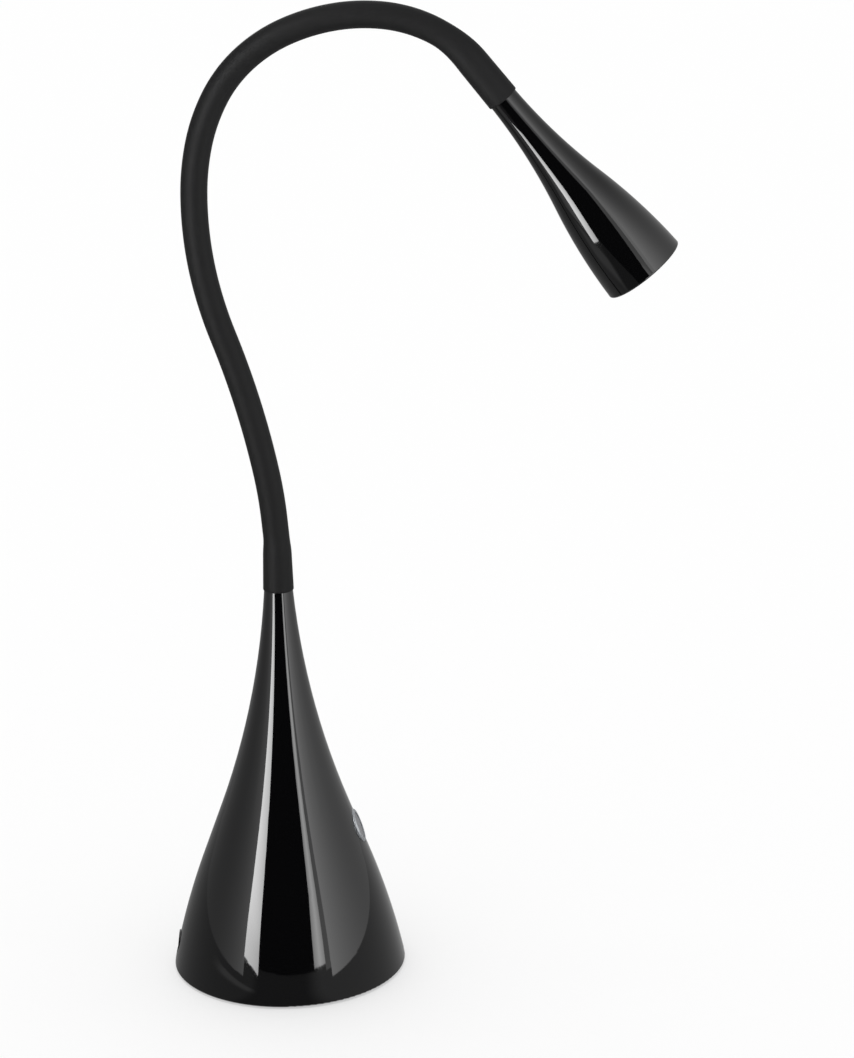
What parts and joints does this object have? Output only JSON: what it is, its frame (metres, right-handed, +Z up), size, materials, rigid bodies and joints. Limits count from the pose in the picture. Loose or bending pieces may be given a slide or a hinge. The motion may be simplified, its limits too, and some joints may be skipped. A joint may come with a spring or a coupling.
{
  "type": "gooseneck desk lamp",
  "caption": "Small desk lamp with a weighted trumpet-shaped base, a push button, a bendable gooseneck in a soft sleeve and a narrow flared LED head.",
  "frame": {"origin": "centre of the foot pad's underside, on the table", "axes": "+Z up along the base; +X towards the front, the side with the push button that the head hangs over; -X the back, with the power inlet; the neck lies in the XZ plane"},
  "size_m": [0.2497, 0.1148, 0.4793],
  "materials": {
    "gloss_black_plastic": "moulded, polished",
    "matte_black_plastic": "fine spark texture",
    "black_rubber": "matt",
    "black_silicone": "soft matt",
    "cast_iron": "as cast",
    "zinc_steel": "zinc plated",
    "neck_steel": "ground",
    "bright_chrome": "bright",
    "grey_plastic": "polished",
    "glass_fibre_board": "green solder mask",
    "ferrite": "wound with varnished copper",
    "can_aluminium": "bright with a dark sleeve",
    "anodised_aluminium": "turned, clear anodised",
    "white_board": "white solder mask on aluminium",
    "led_ceramic": "white base with a yellow dome",
    "silvered_plastic": "vacuum metallised",
    "clear_lens": "clear with a satin back",
    "nickel_contact": "nickel plated",
    "white_nylon": "natural nylon",
    "lead_jacket": "PVC"
  },
  "bodies": {
    "base": {"base_shell": "gloss_black_plastic", "base_cover": "matte_black_plastic", "foot_pad": "black_rubber", "cover_screws": "zinc_steel", "ballast_disc": "cast_iron", "ballast_screws": "zinc_steel", "board_spacers": "white_nylon", "driver_board": "glass_fibre_board", "board_screws": "zinc_steel", "driver_inductor": "ferrite", "driver_capacitor": "can_aluminium", "driver_chip": "matte_black_plastic", "wire_sockets": "white_nylon", "inlet_body": "matte_black_plastic", "inlet_pin": "nickel_contact", "inlet_nut": "zinc_steel", "button_ring": "bright_chrome", "switch_body": "matte_black_plastic", "switch_board": "glass_fibre_board", "switch_screws": "zinc_steel", "lower_ferrule": "neck_steel", "neck_washer": "zinc_steel", "neck_nut": "zinc_steel", "neck_sleeve": "black_silicone", "inlet_lead": "lead_jacket", "switch_lead": "lead_jacket", "lamp_lead": "lead_jacket"},
    "button": {"button_cap": "grey_plastic", "switch_plunger": "white_nylon"},
    "neck_01": {"neck_core_01": "neck_steel"},
    "neck_02": {"neck_core_02": "neck_steel"},
    "neck_03": {"neck_core_03": "neck_steel"},
    "neck_04": {"neck_core_04": "neck_steel"},
    "neck_05": {"neck_core_05": "neck_steel"},
    "neck_06": {"neck_core_06": "neck_steel"},
    "neck_07": {"neck_core_07": "neck_steel"},
    "neck_08": {"neck_core_08": "neck_steel"},
    "neck_09": {"neck_core_09": "neck_steel"},
    "neck_10": {"neck_core_10": "neck_steel"},
    "neck_11": {"neck_core_11": "neck_steel"},
    "neck_12": {"neck_core_12": "neck_steel"},
    "neck_13": {"neck_core_13": "neck_steel"},
    "neck_14": {"neck_core_14": "neck_steel"},
    "neck_15": {"neck_core_15": "neck_steel"},
    "neck_16": {"neck_core_16": "neck_steel"},
    "neck_17": {"neck_core_17": "neck_steel"},
    "neck_18": {"neck_core_18": "neck_steel"},
    "neck_19": {"neck_core_19": "neck_steel"},
    "head": {"upper_ferrule": "neck_steel", "head_nut": "zinc_steel", "head_shell": "gloss_black_plastic", "heat_sink": "anodised_aluminium", "led_board": "white_board", "led_screws": "zinc_steel", "led_emitter": "led_ceramic", "reflector": "silvered_plastic", "front_lens": "clear_lens", "lens_ring": "matte_black_plastic"}
  },
  "joints": [
    {"name": "neck_bend_01", "type": "hinge", "parent": "base", "child": "neck_01", "pos_m": [0, 0, 0.2196], "axis": [0.0001, 1, 0], "range_deg": [-20.52, 29.48], "deforming": ["neck_sleeve", "lamp_lead"]},
    {"name": "neck_bend_02", "type": "hinge", "parent": "neck_01", "child": "neck_02", "pos_m": [-0.00183, 0, 0.2429], "axis": [0.0001, 1, 0], "range_deg": [-18.93, 31.07], "deforming": ["neck_sleeve", "lamp_lead"]},
    {"name": "neck_bend_03", "type": "hinge", "parent": "neck_02", "child": "neck_03", "pos_m": [-0.00611, 0, 0.26587], "axis": [0.0001, 1, 0], "range_deg": [-21.93, 28.07], "deforming": ["neck_sleeve", "lamp_lead"]},
    {"name": "neck_side_1", "type": "hinge", "parent": "neck_03", "child": "neck_04", "pos_m": [-0.00886, 0, 0.27722], "axis": [0.9719, 0, 0.2355], "range_deg": [-22, 22], "deforming": ["neck_sleeve", "lamp_lead"]},
    {"name": "neck_bend_04", "type": "hinge", "parent": "neck_04", "child": "neck_05", "pos_m": [-0.01161, 0, 0.28858], "axis": [0.0001, 1, 0], "range_deg": [-21.93, 28.07], "deforming": ["neck_sleeve", "lamp_lead"]},
    {"name": "neck_bend_05", "type": "hinge", "parent": "neck_05", "child": "neck_06", "pos_m": [-0.01832, 0, 0.31096], "axis": [0.0001, 1, 0], "range_deg": [-21.93, 28.07], "deforming": ["neck_sleeve", "lamp_lead"]},
    {"name": "neck_bend_06", "type": "hinge", "parent": "neck_06", "child": "neck_07", "pos_m": [-0.02622, 0, 0.33295], "axis": [0.0001, 1, 0], "range_deg": [-31.62, 18.38], "deforming": ["neck_sleeve", "lamp_lead"]},
    {"name": "neck_bend_07", "type": "hinge", "parent": "neck_07", "child": "neck_08", "pos_m": [-0.03153, 0, 0.3557], "axis": [0.0001, 1, 0], "range_deg": [-32.46, 17.54], "deforming": ["neck_sleeve", "lamp_lead"]},
    {"name": "neck_side_2", "type": "hinge", "parent": "neck_08", "child": "neck_09", "pos_m": [-0.03269, 0, 0.36733], "axis": [-0.9951, 0, -0.0989], "range_deg": [-22, 22], "deforming": ["neck_sleeve", "lamp_lead"]},
    {"name": "neck_bend_08", "type": "hinge", "parent": "neck_09", "child": "neck_10", "pos_m": [-0.03384, 0, 0.37896], "axis": [0.0001, 1, 0], "range_deg": [-32.46, 17.54], "deforming": ["neck_sleeve", "lamp_lead"]},
    {"name": "neck_bend_09", "type": "hinge", "parent": "neck_10", "child": "neck_11", "pos_m": [-0.03311, 0, 0.40231], "axis": [0.0001, -1, 0], "range_deg": [-13.72, 36.28], "deforming": ["neck_sleeve", "lamp_lead"]},
    {"name": "neck_bend_10", "type": "hinge", "parent": "neck_11", "child": "neck_12", "pos_m": [-0.02783, 0, 0.42507], "axis": [0.0001, -1, 0], "range_deg": [-9.83, 40.17], "deforming": ["neck_sleeve", "lamp_lead"]},
    {"name": "neck_bend_11", "type": "hinge", "parent": "neck_12", "child": "neck_13", "pos_m": [-0.01678, 0, 0.44566], "axis": [0.0001, -1, 0], "range_deg": [-4.73, 45.27], "deforming": ["neck_sleeve", "lamp_lead"]},
    {"name": "neck_side_3", "type": "hinge", "parent": "neck_13", "child": "neck_14", "pos_m": [-0.00803, 0, 0.45341], "axis": [0.6627, 0, -0.7489], "range_deg": [-22, 22], "deforming": ["neck_sleeve", "lamp_lead"]},
    {"name": "neck_bend_12", "type": "hinge", "parent": "neck_14", "child": "neck_15", "pos_m": [0.00072, 0, 0.46115], "axis": [0.0001, -1, 0], "range_deg": [-6.53, 43.47], "deforming": ["neck_sleeve", "lamp_lead"]},
    {"name": "neck_bend_13", "type": "hinge", "parent": "neck_15", "child": "neck_16", "pos_m": [0.02222, 0, 0.47029], "axis": [0.0001, -1, 0], "range_deg": [-10.55, 39.45], "deforming": ["neck_sleeve", "lamp_lead"]},
    {"name": "neck_bend_14", "type": "hinge", "parent": "neck_16", "child": "neck_17", "pos_m": [0.04532, 0, 0.47378], "axis": [0.0001, -1, 0], "range_deg": [-9.24, 40.76], "deforming": ["neck_sleeve", "lamp_lead"]},
    {"name": "neck_bend_15", "type": "hinge", "parent": "neck_17", "child": "neck_18", "pos_m": [0.06851, 0, 0.47086], "axis": [0.0001, -1, 0], "range_deg": [-4.94, 45.06], "deforming": ["neck_sleeve", "lamp_lead"]},
    {"name": "neck_bend_16", "type": "hinge", "parent": "neck_18", "child": "neck_19", "pos_m": [0.08928, 0, 0.46016], "axis": [0.0001, -1, 0], "range_deg": [-0.74, 49.26], "deforming": ["neck_sleeve", "lamp_lead"]},
    {"name": "neck_side_4", "type": "hinge", "parent": "neck_19", "child": "head", "pos_m": [0.09656, 0, 0.45102], "axis": [0.7826, 0, 0.6225], "range_deg": [-22, 22], "deforming": ["neck_sleeve", "lamp_lead"]},
    {"name": "button_press", "type": "slide", "parent": "base", "child": "button", "axis": [-0.9373, 0, -0.3486], "range_m": [0, 0.0005], "stiffness_N_per_m": 3000, "springref_m": -0.0003}
  ]
}
